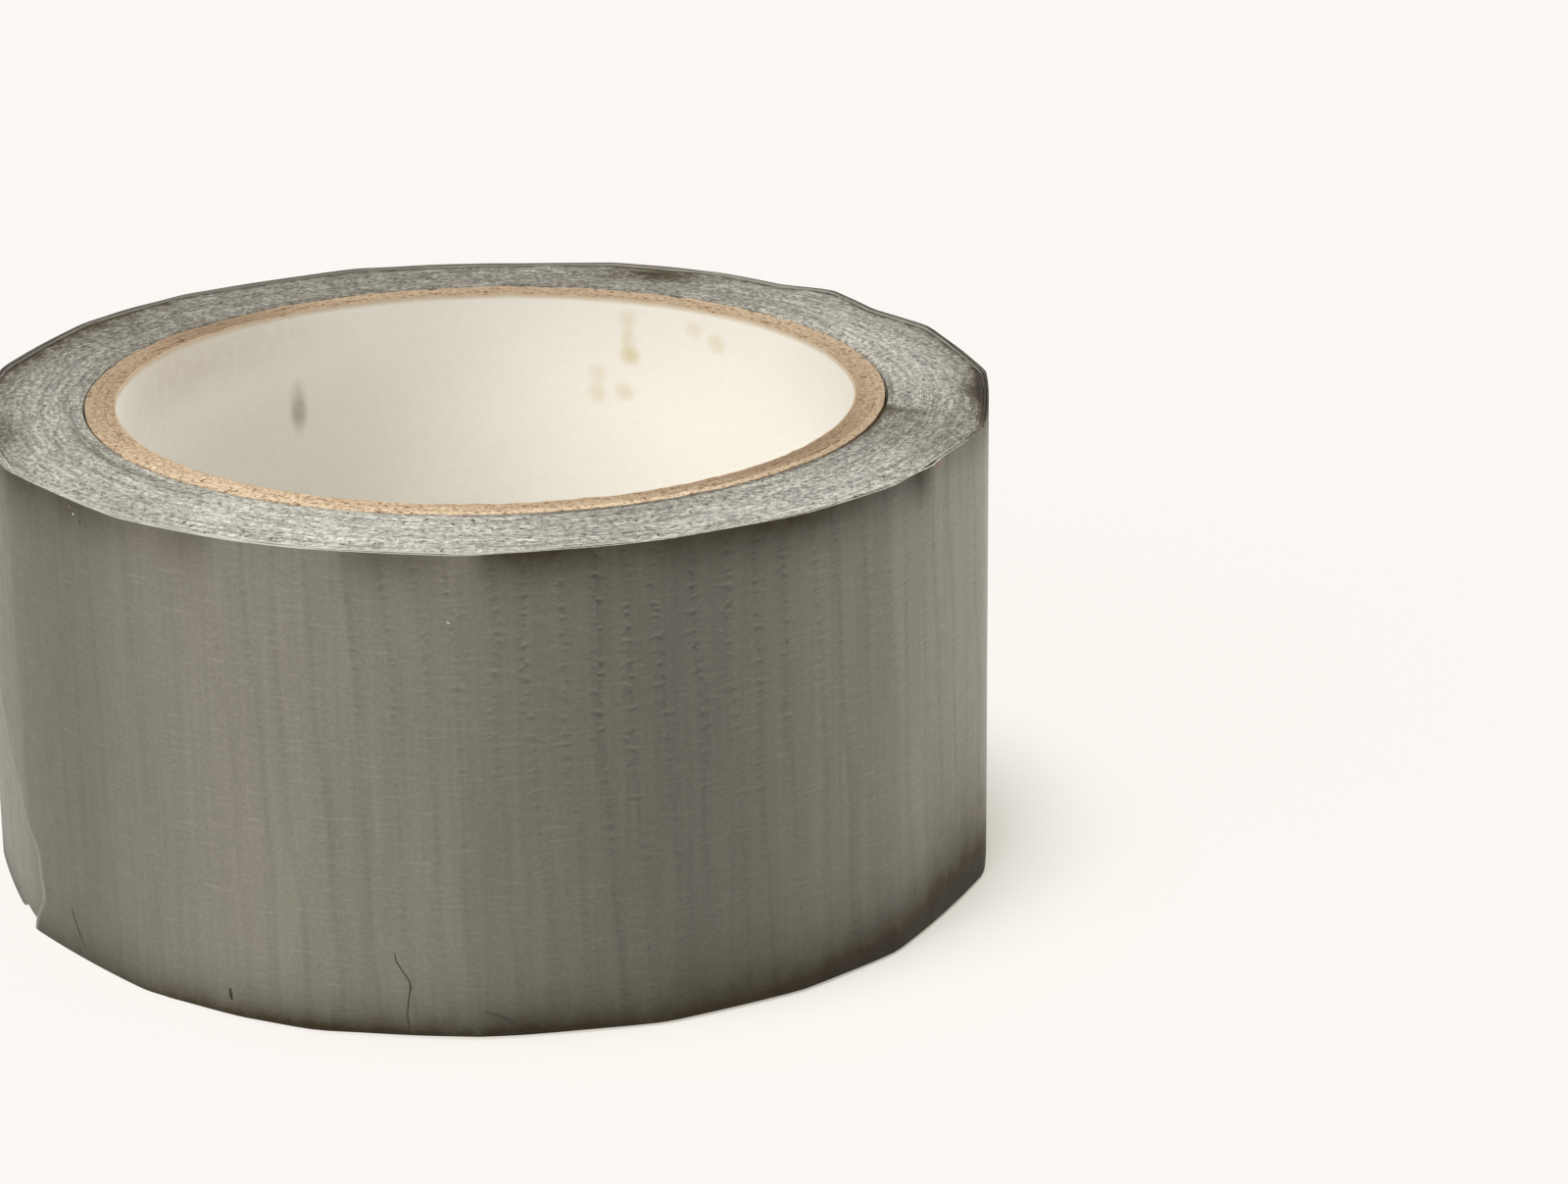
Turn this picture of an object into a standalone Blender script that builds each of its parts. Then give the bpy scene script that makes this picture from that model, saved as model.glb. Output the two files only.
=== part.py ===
"""Roll of cloth-backed repair tape on a spiral-wound paper core.

Metres, +Z up. The roll lies flat: its axis is Z, and its origin is on that axis at the level it
stands on. Seen from above, the tape winds outward clockwise, and its torn free end is at the left.
A place along the wound tape is a count of turns: 0 where the outer turns leave the tight pack, and
OUTER_TURNS at the line where the free end peels away.
"""
import math

import bmesh
import bpy
from mathutils import Vector

MM = 0.001

# Paper core: a tube wound from a white liner and board plies, each a helical strip with a butt seam.
# It is as long as the tape is wide, and it has shifted up a little in the roll.
BORE_RADIUS = 37.5 * MM
LINER_THICKNESS = 0.30 * MM
PLY_THICKNESS = 0.80 * MM
PLY_NAMES = ("core_inner_ply", "core_middle_ply", "core_outer_ply")
GLUE_LINE = 0.12 * MM
CORE_SHIFT = 0.3 * MM
PLY_STRIP_WIDTH = 120.0 * MM
SEAM_GAP = 0.4 * MM
LINER_SEAM_DEGREES = 215.0
SEAM_STAGGER_DEGREES = 85.0

# Tape
TAPE_WIDTH = 48.0 * MM
TAPE_THICKNESS = 0.24 * MM
WOUND_BUILD = 10.9 * MM
OUTER_TURNS = 2.25
TURN_GAP = 0.5 * MM
OUTER_SHIFT = 0.3 * MM
EDGE_STEP = 0.05 * MM
PACK_STEPS = (0, 4, 1, 5, 0)

# Free end: where it peels, its length at its two edges, and its torn edge, whose facets follow the
# tear in a strip of their own
PEEL_DEGREES = 236.0
PEEL_SLIT = 0.3 * MM
FREE_LENGTH_LOW = 22.5 * MM
FREE_LENGTH_HIGH = 38.0 * MM
TEAR_WAVE = 4.2 * MM
TEAR_WAVES = 1.56
TEAR_TOOTH = 0.3 * MM
TEAR_TEETH = 7
TORN_STRIP = 4.0 * MM

# Knocks have left the roll slightly polygonal. Each corner has a direction in degrees and stands out
# from the round by so many steps at the base and at the top. Between corners the wall flattens by a
# share of the full chord.
CORNER_STEP = 0.1 * MM
CORNERS = (
    (8, 4, 1), (28, 4, 3), (38, 0, -7), (48, 4, 17), (54, 0, -2), (64, 5, 8), (78, 6, 9), (110, 5, 5),
    (134, 5, 7), (150, 6, 7), (170, 3, 2), (187, 2, 2), (211, 1, 1), (233, 1, 5), (246, 3, 4),
    (255, 4, 3), (272, 2, 6), (292, 4, -2), (308, 6, -2), (322, 8, -1), (346, 8, 1),
)
FLATNESS = 0.65

# Fineness of the facets
ROUND_SIDES = 96
STATION_DEGREES = 4.0
SEAM_STATIONS = 32
FREE_END_ROWS = 25
TORN_COLUMNS = 4

# Worked out from the sizes above
TURN_PITCH = TAPE_THICKNESS + TURN_GAP
CORE_OUTER_RADIUS = BORE_RADIUS + LINER_THICKNESS + len(PLY_NAMES) * (GLUE_LINE + PLY_THICKNESS)
PACK_INNER_RADIUS = CORE_OUTER_RADIUS + GLUE_LINE
OUTER_RADIUS = PACK_INNER_RADIUS + WOUND_BUILD
PACK_TURN_DEGREES = PEEL_DEGREES + 360.0 * OUTER_TURNS
BLADE_MARGIN = 0.5 * GLUE_LINE

COLOURS = {
    "liner": ((0.80, 0.76, 0.66), 0.85),
    "board": ((0.52, 0.36, 0.21), 0.9),
    "tape_edge": ((0.36, 0.36, 0.33), 0.75),
    "tape_face": ((0.24, 0.23, 0.19), 0.5),
}


def clear_scene():
    for old in list(bpy.data.objects):
        bpy.data.objects.remove(old, do_unlink=True)


def finish_material(name, finish):
    colour, roughness = COLOURS[finish]
    material = bpy.data.materials.new(name)
    material.use_nodes = True
    shader = material.node_tree.nodes["Principled BSDF"]
    shader.inputs["Base Color"].default_value = (*colour, 1.0)
    shader.inputs["Roughness"].default_value = roughness
    shader.inputs["Metallic"].default_value = 0.0
    return material


def add_object(name, bm, finish=None):
    bmesh.ops.recalc_face_normals(bm, faces=bm.faces)
    mesh = bpy.data.meshes.new(name)
    bm.to_mesh(mesh)
    bm.free()
    mesh.shade_smooth()
    mesh.set_sharp_from_angle(angle=math.radians(20))
    if finish:
        mesh.materials.append(finish_material(name, finish))
    built = bpy.data.objects.new(name, mesh)
    bpy.context.scene.collection.objects.link(built)
    return built


def polar(radius, degrees, height):
    angle = math.radians(degrees)
    return Vector((radius * math.cos(angle), radius * math.sin(angle), height))


def bridge_loops(bm, loops, closed_round, closed_section):
    """Join loops of equal length with quads, round the loops and from each loop to the next."""
    count = len(loops[0])
    rounds = count if closed_round else count - 1
    sections = len(loops) if closed_section else len(loops) - 1
    for section in range(sections):
        near = loops[section]
        far = loops[(section + 1) % len(loops)]
        for step in range(rounds):
            ahead = (step + 1) % count
            bm.faces.new((near[step], near[ahead], far[ahead], far[step]))


# Shape of the wound tape

def corner_outline(degrees, share):
    """Radius of the roll's outside in a direction, at a share of its height: corners and flats."""
    for index, (start, base, top) in enumerate(CORNERS):
        end, next_base, next_top = CORNERS[(index + 1) % len(CORNERS)]
        span = (end - start) % 360.0
        along = ((degrees - start) % 360.0) / span
        if along <= 1.0:
            lift = base + (top - base) * share
            next_lift = next_base + (next_top - next_base) * share
            sag = FLATNESS * OUTER_RADIUS * (1.0 - math.cos(math.radians(span / 2)))
            corner = CORNER_STEP * (lift + (next_lift - lift) * along)
            return OUTER_RADIUS + corner - sag * 4.0 * along * (1.0 - along)
    return OUTER_RADIUS


def turn_degrees(turn):
    return PACK_TURN_DEGREES - 360.0 * turn


def turn_radius(turn, share):
    """Radius of the tape's outer face at a place along the winding, at a share of the height.

    The spiral crosses the outline half a turn before the peel line.
    """
    return corner_outline(turn_degrees(turn), share) - TURN_PITCH * (OUTER_TURNS - 0.5 - turn)


def stations(first, last):
    """Places along the winding from first to last: both ends, each corner, and steps between them."""
    least = 0.25 * STATION_DEGREES / 360.0
    marks = [first, last]
    for degrees, base, top in CORNERS:
        place = ((PACK_TURN_DEGREES - degrees) % 360.0) / 360.0
        for whole in range(math.floor(first) - 1, math.ceil(last) + 1):
            if first + least < place + whole < last - least:
                marks.append(place + whole)
    marks.sort()
    places = []
    for start, end in zip(marks, marks[1:]):
        steps = max(1, round((end - start) * 360.0 / STATION_DEGREES))
        places.extend(start + (end - start) * step / steps for step in range(steps))
    places.append(last)
    return places


def arc_turns(length):
    """Share of a turn that a length along the outside takes."""
    return length / (2.0 * math.pi * OUTER_RADIUS)


# Paper core

def ring_mesh(inner, outer, low, high):
    bm = bmesh.new()
    loops = []
    for radius, height in ((inner, low), (outer, low), (outer, high), (inner, high)):
        places = (polar(radius, 360.0 * side / ROUND_SIDES, height) for side in range(ROUND_SIDES))
        loops.append([bm.verts.new(place) for place in places])
    bridge_loops(bm, loops, closed_round=True, closed_section=True)
    return bm


def seam_blade(name, inner, outer, low, high, start_degrees):
    """Cutter for the butt seam of one ply, a helical bar as wide as the seam."""
    middle = (inner + outer) / 2.0
    slant = math.acos(PLY_STRIP_WIDTH / (2.0 * math.pi * middle))
    degrees_per_height = math.degrees(math.tan(slant) / middle)
    half_width = math.degrees(SEAM_GAP / math.cos(slant) / middle) / 2.0
    bottom = low - SEAM_GAP
    rise = high - low + 2.0 * SEAM_GAP
    bm = bmesh.new()
    sections = []
    for station in range(SEAM_STATIONS + 1):
        climb = rise * station / SEAM_STATIONS
        centre = start_degrees + degrees_per_height * climb
        corners = (
            (inner - BLADE_MARGIN, centre - half_width), (outer + BLADE_MARGIN, centre - half_width),
            (outer + BLADE_MARGIN, centre + half_width), (inner - BLADE_MARGIN, centre + half_width),
        )
        sections.append([bm.verts.new(polar(r, degrees, bottom + climb)) for r, degrees in corners])
    bridge_loops(bm, sections, closed_round=True, closed_section=False)
    bm.faces.new(sections[0])
    bm.faces.new(sections[-1])
    blade = add_object(name, bm)
    blade.hide_render = True
    blade.display_type = "WIRE"
    return blade


def make_ply(name, inner, thickness, seam_degrees, finish):
    outer = inner + thickness
    low = CORE_SHIFT
    high = TAPE_WIDTH + CORE_SHIFT
    ply = add_object(name, ring_mesh(inner, outer, low, high), finish)
    cut = ply.modifiers.new("butt_seam", "BOOLEAN")
    cut.operation = "DIFFERENCE"
    cut.object = seam_blade(name + "_seam", inner, outer, low, high, seam_degrees)
    return ply


def make_core():
    make_ply("core_liner", BORE_RADIUS, LINER_THICKNESS, LINER_SEAM_DEGREES, "liner")
    inner = BORE_RADIUS + LINER_THICKNESS + GLUE_LINE
    for index, name in enumerate(PLY_NAMES):
        seam = LINER_SEAM_DEGREES + SEAM_STAGGER_DEGREES * (index + 1)
        make_ply(name, inner, PLY_THICKNESS, seam, "board")
        inner += PLY_THICKNESS + GLUE_LINE


# Tape

def make_wound_tape():
    """Tight pack of turns in bands that stand a little higher or lower, as the winding wandered.

    Its outside is the last turn of a spiral, with a step where the outer turns leave it.
    """
    bm = bmesh.new()
    places = stations(0.0, 1.0 - arc_turns(PEEL_SLIT))
    bands = len(PACK_STEPS)

    def loop(edge, height, share):
        points = []
        for turn in places:
            outside = turn_radius(turn, share) - TURN_PITCH
            radius = PACK_INNER_RADIUS + (outside - PACK_INNER_RADIUS) * edge / bands
            points.append(bm.verts.new(polar(radius, turn_degrees(turn), height)))
        return points

    top = []
    bottom = []
    for band, steps in enumerate(PACK_STEPS):
        shift = EDGE_STEP * steps
        for edge in (band, band + 1):
            top.append(loop(edge, TAPE_WIDTH + shift, 1.0))
            bottom.append(loop(edge, shift, 0.0))
    bridge_loops(bm, top + bottom[::-1], closed_round=True, closed_section=True)
    add_object("wound_tape", bm, "tape_edge")


def make_outer_turns():
    """The last turns, one unbroken strip from the step in the pack to the peel line."""
    bm = bmesh.new()
    sections = []
    low = OUTER_SHIFT
    high = TAPE_WIDTH + OUTER_SHIFT
    for turn in stations(arc_turns(PEEL_SLIT), OUTER_TURNS - arc_turns(PEEL_SLIT) / 2.0):
        base = turn_radius(turn, 0.0)
        top = turn_radius(turn, 1.0)
        corners = ((base - TAPE_THICKNESS, low), (base, low), (top, high), (top - TAPE_THICKNESS, high))
        sections.append([bm.verts.new(polar(r, turn_degrees(turn), height)) for r, height in corners])
    bridge_loops(bm, sections, closed_round=True, closed_section=False)
    bm.faces.new(sections[0])
    bm.faces.new(sections[-1])
    add_object("outer_turns", bm, "tape_face")


def torn_length(share):
    """Length of the free end at a share of the tape's width: slanted, waved and toothed."""
    slant = FREE_LENGTH_LOW + (FREE_LENGTH_HIGH - FREE_LENGTH_LOW) * share
    wave = TEAR_WAVE * math.sin(2.0 * math.pi * TEAR_WAVES * share)
    tooth = TEAR_TOOTH * math.sin(2.0 * math.pi * TEAR_TEETH * share + 5.0 * share * share)
    return slant - wave + tooth


def make_tape_end():
    """Torn free end, hinged where it leaves the roll. Its origin is on the peel line."""
    peel_radius = max(turn_radius(OUTER_TURNS, 0.0), turn_radius(OUTER_TURNS, 1.0))
    peel_line = polar(peel_radius, PEEL_DEGREES, 0.0)
    root = OUTER_TURNS + arc_turns(PEEL_SLIT) / 2.0
    shares = [row / (FREE_END_ROWS - 1) for row in range(FREE_END_ROWS)]
    torn_from = OUTER_TURNS + arc_turns(min(torn_length(share) for share in shares) - TORN_STRIP)
    whole_part = stations(root, torn_from)
    bm = bmesh.new()
    outer_rows = []
    inner_rows = []
    for share in shares:
        height = OUTER_SHIFT + TAPE_WIDTH * share
        tear = OUTER_TURNS + arc_turns(torn_length(share)) - torn_from
        torn_part = [torn_from + tear * column / TORN_COLUMNS for column in range(1, TORN_COLUMNS + 1)]
        outer_row = []
        inner_row = []
        for turn in whole_part + torn_part:
            outer = turn_radius(turn, share)
            for radius, side in ((outer, outer_row), (outer - TAPE_THICKNESS, inner_row)):
                side.append(bm.verts.new(polar(radius, turn_degrees(turn), height) - peel_line))
        outer_rows.append(outer_row)
        inner_rows.append(inner_row)
    for rows in (outer_rows, inner_rows):
        bridge_loops(bm, rows, closed_round=False, closed_section=False)
    for row in (0, -1):
        bridge_loops(bm, (outer_rows[row], inner_rows[row]), closed_round=False, closed_section=False)
    for column in (0, -1):
        outer_edge = [row[column] for row in outer_rows]
        inner_edge = [row[column] for row in inner_rows]
        bridge_loops(bm, (outer_edge, inner_edge), closed_round=False, closed_section=False)
    tape_end = add_object("tape_end", bm, "tape_face")
    tape_end.location = peel_line


def least_turn_gap(share):
    """Least distance between neighbouring turns of the strip, free end included, on points."""
    reach = max(FREE_LENGTH_LOW, FREE_LENGTH_HIGH)
    places = stations(arc_turns(PEEL_SLIT), OUTER_TURNS + arc_turns(reach))
    outside = []
    inside = []
    for turn in places:
        radius = turn_radius(turn, share)
        outside.append((turn, polar(radius, turn_degrees(turn), 0.0)))
        inside.append((turn, polar(radius - TAPE_THICKNESS, turn_degrees(turn), 0.0)))
    gaps = []
    for (turn, start), (next_turn, end) in zip(inside, inside[1:]):
        run = end - start
        for below, point in outside:
            if turn - below > 0.5:
                along = (point - start).dot(run) / run.length_squared
                gaps.append((start + run * min(1.0, max(0.0, along)) - point).length)
    return min(gaps)


def main():
    clear_scene()
    make_core()
    make_wound_tape()
    make_outer_turns()
    make_tape_end()
    gap = min(least_turn_gap(0.0), least_turn_gap(1.0))
    print(f"Least gap between neighbouring turns: {gap / MM:.2f} mm")


main()
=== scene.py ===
"""Looks of a roll of cloth-backed repair tape on its paper core.

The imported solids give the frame. Each of them is soft or wound, so a finer form stands for it here.
Sizes are in metres. The places that materials read are in millimetres: "place" holds the distance
along the tape and the height on it, and "edge_place" a point on the rim and the radius.
"""
import math

import bmesh
import bpy
import numpy as np
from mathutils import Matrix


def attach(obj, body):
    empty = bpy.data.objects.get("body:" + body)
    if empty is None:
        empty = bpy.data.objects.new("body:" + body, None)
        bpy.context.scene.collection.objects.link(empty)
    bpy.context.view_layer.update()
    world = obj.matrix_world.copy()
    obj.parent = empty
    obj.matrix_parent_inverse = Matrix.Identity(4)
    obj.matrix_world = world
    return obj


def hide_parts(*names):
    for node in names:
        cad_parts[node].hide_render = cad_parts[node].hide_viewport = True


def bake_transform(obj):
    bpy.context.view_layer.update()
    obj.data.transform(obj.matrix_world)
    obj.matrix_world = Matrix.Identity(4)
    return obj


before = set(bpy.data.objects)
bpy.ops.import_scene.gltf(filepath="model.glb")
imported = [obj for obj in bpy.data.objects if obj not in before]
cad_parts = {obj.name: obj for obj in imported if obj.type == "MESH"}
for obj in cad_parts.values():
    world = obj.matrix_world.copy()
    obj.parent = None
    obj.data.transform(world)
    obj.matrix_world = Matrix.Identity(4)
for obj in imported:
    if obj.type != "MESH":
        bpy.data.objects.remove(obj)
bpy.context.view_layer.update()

MM = 0.001
PER_MM = 1000.0

# Paper core
BORE_RADIUS = 37.5 * MM
LINER_THICKNESS = 0.30 * MM
LINER_PAPER = 0.14 * MM
PLY_THICKNESS = 0.80 * MM
PLY_NAMES = ("core_inner_ply", "core_middle_ply", "core_outer_ply")
GLUE_LINE = 0.12 * MM
GLUE_CRACK = 0.03 * MM
CORE_BOTTOM = 0.3 * MM
CORE_TOP = 48.3 * MM
PLY_STRIP_WIDTH = 120.0 * MM
SEAM_GAP = 0.16 * MM
LINER_SEAM_DEGREES = 215.0
SEAM_STAGGER_DEGREES = 85.0

# Tape
TAPE_WIDTH = 48.0 * MM
TAPE_THICKNESS = 0.22 * MM
WOUND_BUILD = 10.9 * MM
OUTER_TURNS = 2.25
TURN_PITCH = 0.27 * MM
OUTER_SHIFT = 0.3 * MM
EDGE_STEP = 0.05 * MM
EDGE_ROUND = 0.012 * MM
PACK_STEPS = (5, 4, 1, 5, 0)
PACK_TURNS = 42

# Free end
PEEL_DEGREES = 236.0
DENT_LIFT = 1.0 * MM
DENT_DEGREES = 208.0
DENT_FADE_DEGREES = 5.0
DENT_RADII = (49.5 * MM, 51.2 * MM)
FREE_LENGTH_LOW = 22.5 * MM
FREE_LENGTH_HIGH = 38.0 * MM
TEAR_WAVE = 4.2 * MM
TEAR_WAVE_SHARE = 0.64
TEAR_TOOTH = 0.25 * MM
TEAR_TEETH = 9
TORN_STRIP = 4.0 * MM
TORN_PALE = 0.35
TORN_STRENGTH = 0.8
FREE_END_SHADE_SHARE = 0.6
TEAR_UNEVENNESS = 5.0

# The roll's outline: corners in degrees, with their lift in steps at the base and at the top
CORNER_STEP = 0.1 * MM
CORNERS = (
    (8, 4, 1), (28, 4, 3), (38, 0, -7), (48, 4, 17), (54, 0, -2), (64, 5, 8), (78, 6, 9), (110, 5, 5),
    (134, 5, 7), (150, 6, 7), (170, 3, 2), (187, 2, 2), (211, 1, 1), (233, 1, 5), (246, 3, 4),
    (255, 4, 3), (272, 2, 6), (292, 4, -2), (308, 6, -2), (322, 8, -1), (346, 8, 1),
)
FLATNESS = 0.65
CORNER_ROUNDING_DEGREES = 0.8
CREASE_DEGREES = 330.4
CREASE_HALF_DEGREES = 3.2
CREASE_LIFT = 0.4 * MM
CREASE_FOOT = 38.0 * MM

# Cloth under the film, in millimetres: weft yarns run up the wall a little aslant, warp rungs cross them
WEFT_SPACING = 3.26
WEFT_JITTER = 0.7
WEFT_WIDTH = 0.26
WEFT_LEAN = 0.044
WEFT_LIFT = 0.030
WEFT_LEAST = 0.6
WEFT_VARIATION = 1.8
WEFT_COLUMNS = (-0.36, -0.12, 0.12, 0.36, 1.63)
LEAN_FADE = 6.0
# Waves in which a weft yarn sways: size, length and seed
WEFT_SWAYS = ((0.22, 7.5, 1.0), (0.12, 2.9, 2.0))
SWAY_PHASES = 6.3
# Yarns are faint at the left and come clear between these degrees past the peel line
FAINT_YARN = 0.6
FAINT_YARN_DEGREES = (6.0, 26.0)
RUNG_SPACING = 1.6
RUNG_LIFT = 0.018
RUNG_DRIFT = 0.35
RUNG_DRIFT_LENGTH = 5.0
# Steps that give each yarn a drift and rungs of its own
OWN_DRIFT = 31.0
OWN_RUNGS = 97.0
# Rungs show most in one direction and high up
LADDER_DEGREES = 290.0
LADDER_HALF_DEGREES = 15.0
LADDER_LEAST = 0.2
LADDER_HEIGHTS = (17.0, 43.0)
LADDER_FOOT_SHARE = 0.3
SLACK = 0.02
SLACK_LENGTH = 9.0
SLACK_PHASES = (0.4, 2.8)

# Fineness of the meshes
WALL_ROWS = 133
INNER_ROW_STEP = 12
COVERED_SPACING = 6.0
PACK_STATIONS = 320
FREE_END_ROWS = 121
FREE_END_COLUMNS = 110
CORE_SIDES = 360
LINER_ROWS = 72
PLY_ROWS = 33
HAIR_SIDES = 6
HAIR_STEPS = 8
FREE_END_SPLIT = 0.7
COLUMN_CLEARANCE = 0.05
TABLE_STEP = 0.25
SHARP_DEGREES = 50.0

# Worked out from the sizes above
CORE_OUTER_RADIUS = BORE_RADIUS + LINER_THICKNESS + len(PLY_NAMES) * (GLUE_LINE + PLY_THICKNESS)
PACK_INNER_RADIUS = CORE_OUTER_RADIUS + GLUE_LINE
OUTER_RADIUS = PACK_INNER_RADIUS + WOUND_BUILD
PACK_TURN_DEGREES = PEEL_DEGREES + 360.0 * OUTER_TURNS
TURN_LENGTH = math.tau * OUTER_RADIUS
TURN_MM = TURN_LENGTH * PER_MM
PACK_OUTER_LOSS = TURN_PITCH * (OUTER_TURNS - 0.5)
SHOWN_FROM = OUTER_TURNS - 1.05
DENTED_UP_TO = OUTER_TURNS - 0.6

# Camera and light
CAMERA_PLACE = (30.27 * MM, -403.16 * MM, 167.65 * MM)
CAMERA_PITCH = 0.33679
CAMERA_LENS = 94.5
CAMERA_SENSOR = 36.0
CAMERA_NEAR = 0.01
BACKGROUND = (0.967, 0.942, 0.900)
FLOOR_NEAR_SHARES = (0.78, 0.80, 0.86)
FLOOR_FAR_SHARES = (0.03, 0.035, 0.05)
FLOOR_SHADE_CENTRE = (14.0 * MM, -4.0 * MM, 0.0)
FLOOR_NEAR_REACH = 30.0 * MM
FLOOR_FAR_REACH = 62.0 * MM
FLOOR_BOUNCE = (0.28, 0.273, 0.256)
BORE_FLOOR_BOUNCE = (0.85, 0.83, 0.78)
FLOOR_HALF = 4.0
FLOOR_ROUGHNESS = 0.9
LAMP_COLOUR = (1.0, 0.985, 0.95)
# Each lamp: name, azimuth from the camera side towards the right, elevation, strength, spread
LAMPS = (
    ("key_front", -30.0, 30.0, 1.05, 40.0),
    ("key_left", -60.0, 30.0, 1.1, 40.0),
    ("top", 0.0, 86.0, 1.87, 40.0),
    ("side_right", 100.0, 6.0, 2.0, 46.0),
)


# Small helpers for shapes

def smooth_step(values, start, end):
    share = np.clip((values - start) / (end - start), 0.0, 1.0)
    return share * share * (3.0 - 2.0 * share)


def between(low, high, share):
    return low + (high - low) * share


def turned_by(degrees, centre):
    """Signed angle from a direction, between -180 and 180."""
    return (degrees - centre + 180.0) % 360.0 - 180.0


def bell(values, width):
    return np.exp(-0.5 * (values / width) ** 2)


def scatter(index, seed):
    """A repeatable number between -0.5 and 0.5 for each whole number."""
    mixed = np.sin(index * 12.9898 + seed * 78.233) * 43758.5453
    return mixed - np.floor(mixed) - 0.5


def wander(values, step, size, seed):
    """A smooth random line: a new height every step, eased in between."""
    index = np.floor(values / step)
    eased = smooth_step(values / step - index, 0.0, 1.0)
    near = scatter(index, seed)
    return 2.0 * size * (near + (scatter(index + 1.0, seed) - near) * eased)


def polar(radius, degrees, height):
    angle = np.radians(degrees)
    return np.stack((radius * np.cos(angle), radius * np.sin(angle), height + 0.0 * angle), -1)


def grid_quads(columns, rows, round_rows=False):
    """Quads of a grid of points that are stored column by column."""
    index = np.arange(columns * rows).reshape(columns, rows)
    if round_rows:
        index = np.concatenate((index, index[:, :1]), 1)
    corners = (index[:-1, :-1], index[1:, :-1], index[1:, 1:], index[:-1, 1:])
    return np.stack(corners, -1).reshape(-1, 4)


def end_faces(count, ring):
    """The two faces that close a tube of a number of rings."""
    return [list(range(ring)), list(range((count - 1) * ring, count * ring))]


def put(name, content):
    """An object in the scene."""
    holder = bpy.data.objects.new(name, content)
    bpy.context.scene.collection.objects.link(holder)
    return holder


def add_piece(name, points, faces, materials, face_materials=None, facts=None):
    """A closed mesh piece. facts are point attributes that its materials read; places are vectors."""
    mesh = bpy.data.meshes.new(name)
    mesh.from_pydata(points.reshape(-1, 3).tolist(), [], faces)
    for material in materials:
        mesh.materials.append(material)
    if face_materials is not None:
        mesh.polygons.foreach_set("material_index", np.asarray(face_materials, np.int32))
    bm = bmesh.new()
    bm.from_mesh(mesh)
    bmesh.ops.recalc_face_normals(bm, faces=bm.faces)
    bm.to_mesh(mesh)
    bm.free()
    for fact, values in (facts or {}).items():
        kind, slot = ("FLOAT_VECTOR", "vector") if fact.endswith("place") else ("FLOAT", "value")
        attribute = mesh.attributes.new(fact, kind, "POINT")
        attribute.data.foreach_set(slot, np.asarray(values, np.float32).ravel())
    mesh.shade_smooth()
    mesh.set_sharp_from_angle(angle=math.radians(SHARP_DEGREES))
    return put(name, mesh)


# Shape of the wound tape

TABLE_DEGREES = np.arange(0.0, 360.0, TABLE_STEP)
CORNER_DEGREES = np.array(CORNERS, float)[:, 0]


def corner_table(column):
    """The outline's departure from round all the way round, with its corners a little rounded."""
    lifts = CORNER_STEP * np.array(CORNERS, float)[:, column]
    spans = np.diff(np.append(CORNER_DEGREES, CORNER_DEGREES[0] + 360.0))
    flat = np.searchsorted(CORNER_DEGREES, TABLE_DEGREES, side="right") - 1
    along = ((TABLE_DEGREES - CORNER_DEGREES[flat]) % 360.0) / spans[flat]
    sag = FLATNESS * OUTER_RADIUS * (1.0 - np.cos(np.radians(spans / 2.0)))
    departure = np.interp(TABLE_DEGREES, CORNER_DEGREES, lifts, period=360.0)
    departure -= sag[flat] * 4.0 * along * (1.0 - along)
    reach = int(4.0 * CORNER_ROUNDING_DEGREES / TABLE_STEP)
    weights = bell(np.arange(-reach, reach + 1) * TABLE_STEP, CORNER_ROUNDING_DEGREES)
    wrapped = np.concatenate((departure[-reach:], departure, departure[:reach]))
    return np.convolve(wrapped, weights / weights.sum(), mode="valid")


BASE_DEPARTURE = corner_table(1)
TOP_DEPARTURE = corner_table(2)


def outline(degrees, share):
    """Radius of the roll's outside in a direction, at a share of its height."""
    base = np.interp(degrees, TABLE_DEGREES, BASE_DEPARTURE, period=360.0)
    top = np.interp(degrees, TABLE_DEGREES, TOP_DEPARTURE, period=360.0)
    return OUTER_RADIUS + base + (top - base) * share


def crease(degrees, height):
    """The short ridge under the rim at the right."""
    away = np.abs(turned_by(degrees, CREASE_DEGREES)) / CREASE_HALF_DEGREES
    return CREASE_LIFT * np.clip(1.0 - away, 0.0, 1.0) * smooth_step(height, CREASE_FOOT, TAPE_WIDTH)


def turn_degrees(turn):
    return PACK_TURN_DEGREES - 360.0 * turn


def weft_place(index):
    """Distance along the tape of a weft yarn, in millimetres."""
    return WEFT_SPACING * index + WEFT_JITTER * scatter(index, seed=3.0)


def yarn_slant(height):
    """How far along the tape a weft yarn has wandered at a height, in millimetres."""
    return WEFT_LEAN * (height - 0.5 * TAPE_WIDTH * PER_MM)


def rung_zone(height, degrees):
    """How much the rungs show at a place on the wall."""
    ladder = bell(turned_by(degrees, LADDER_DEGREES), LADDER_HALF_DEGREES)
    climb = smooth_step(height, *LADDER_HEIGHTS)
    return between(LADDER_LEAST, 1.0, ladder) * between(LADDER_FOOT_SHARE, 1.0, climb)


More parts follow.
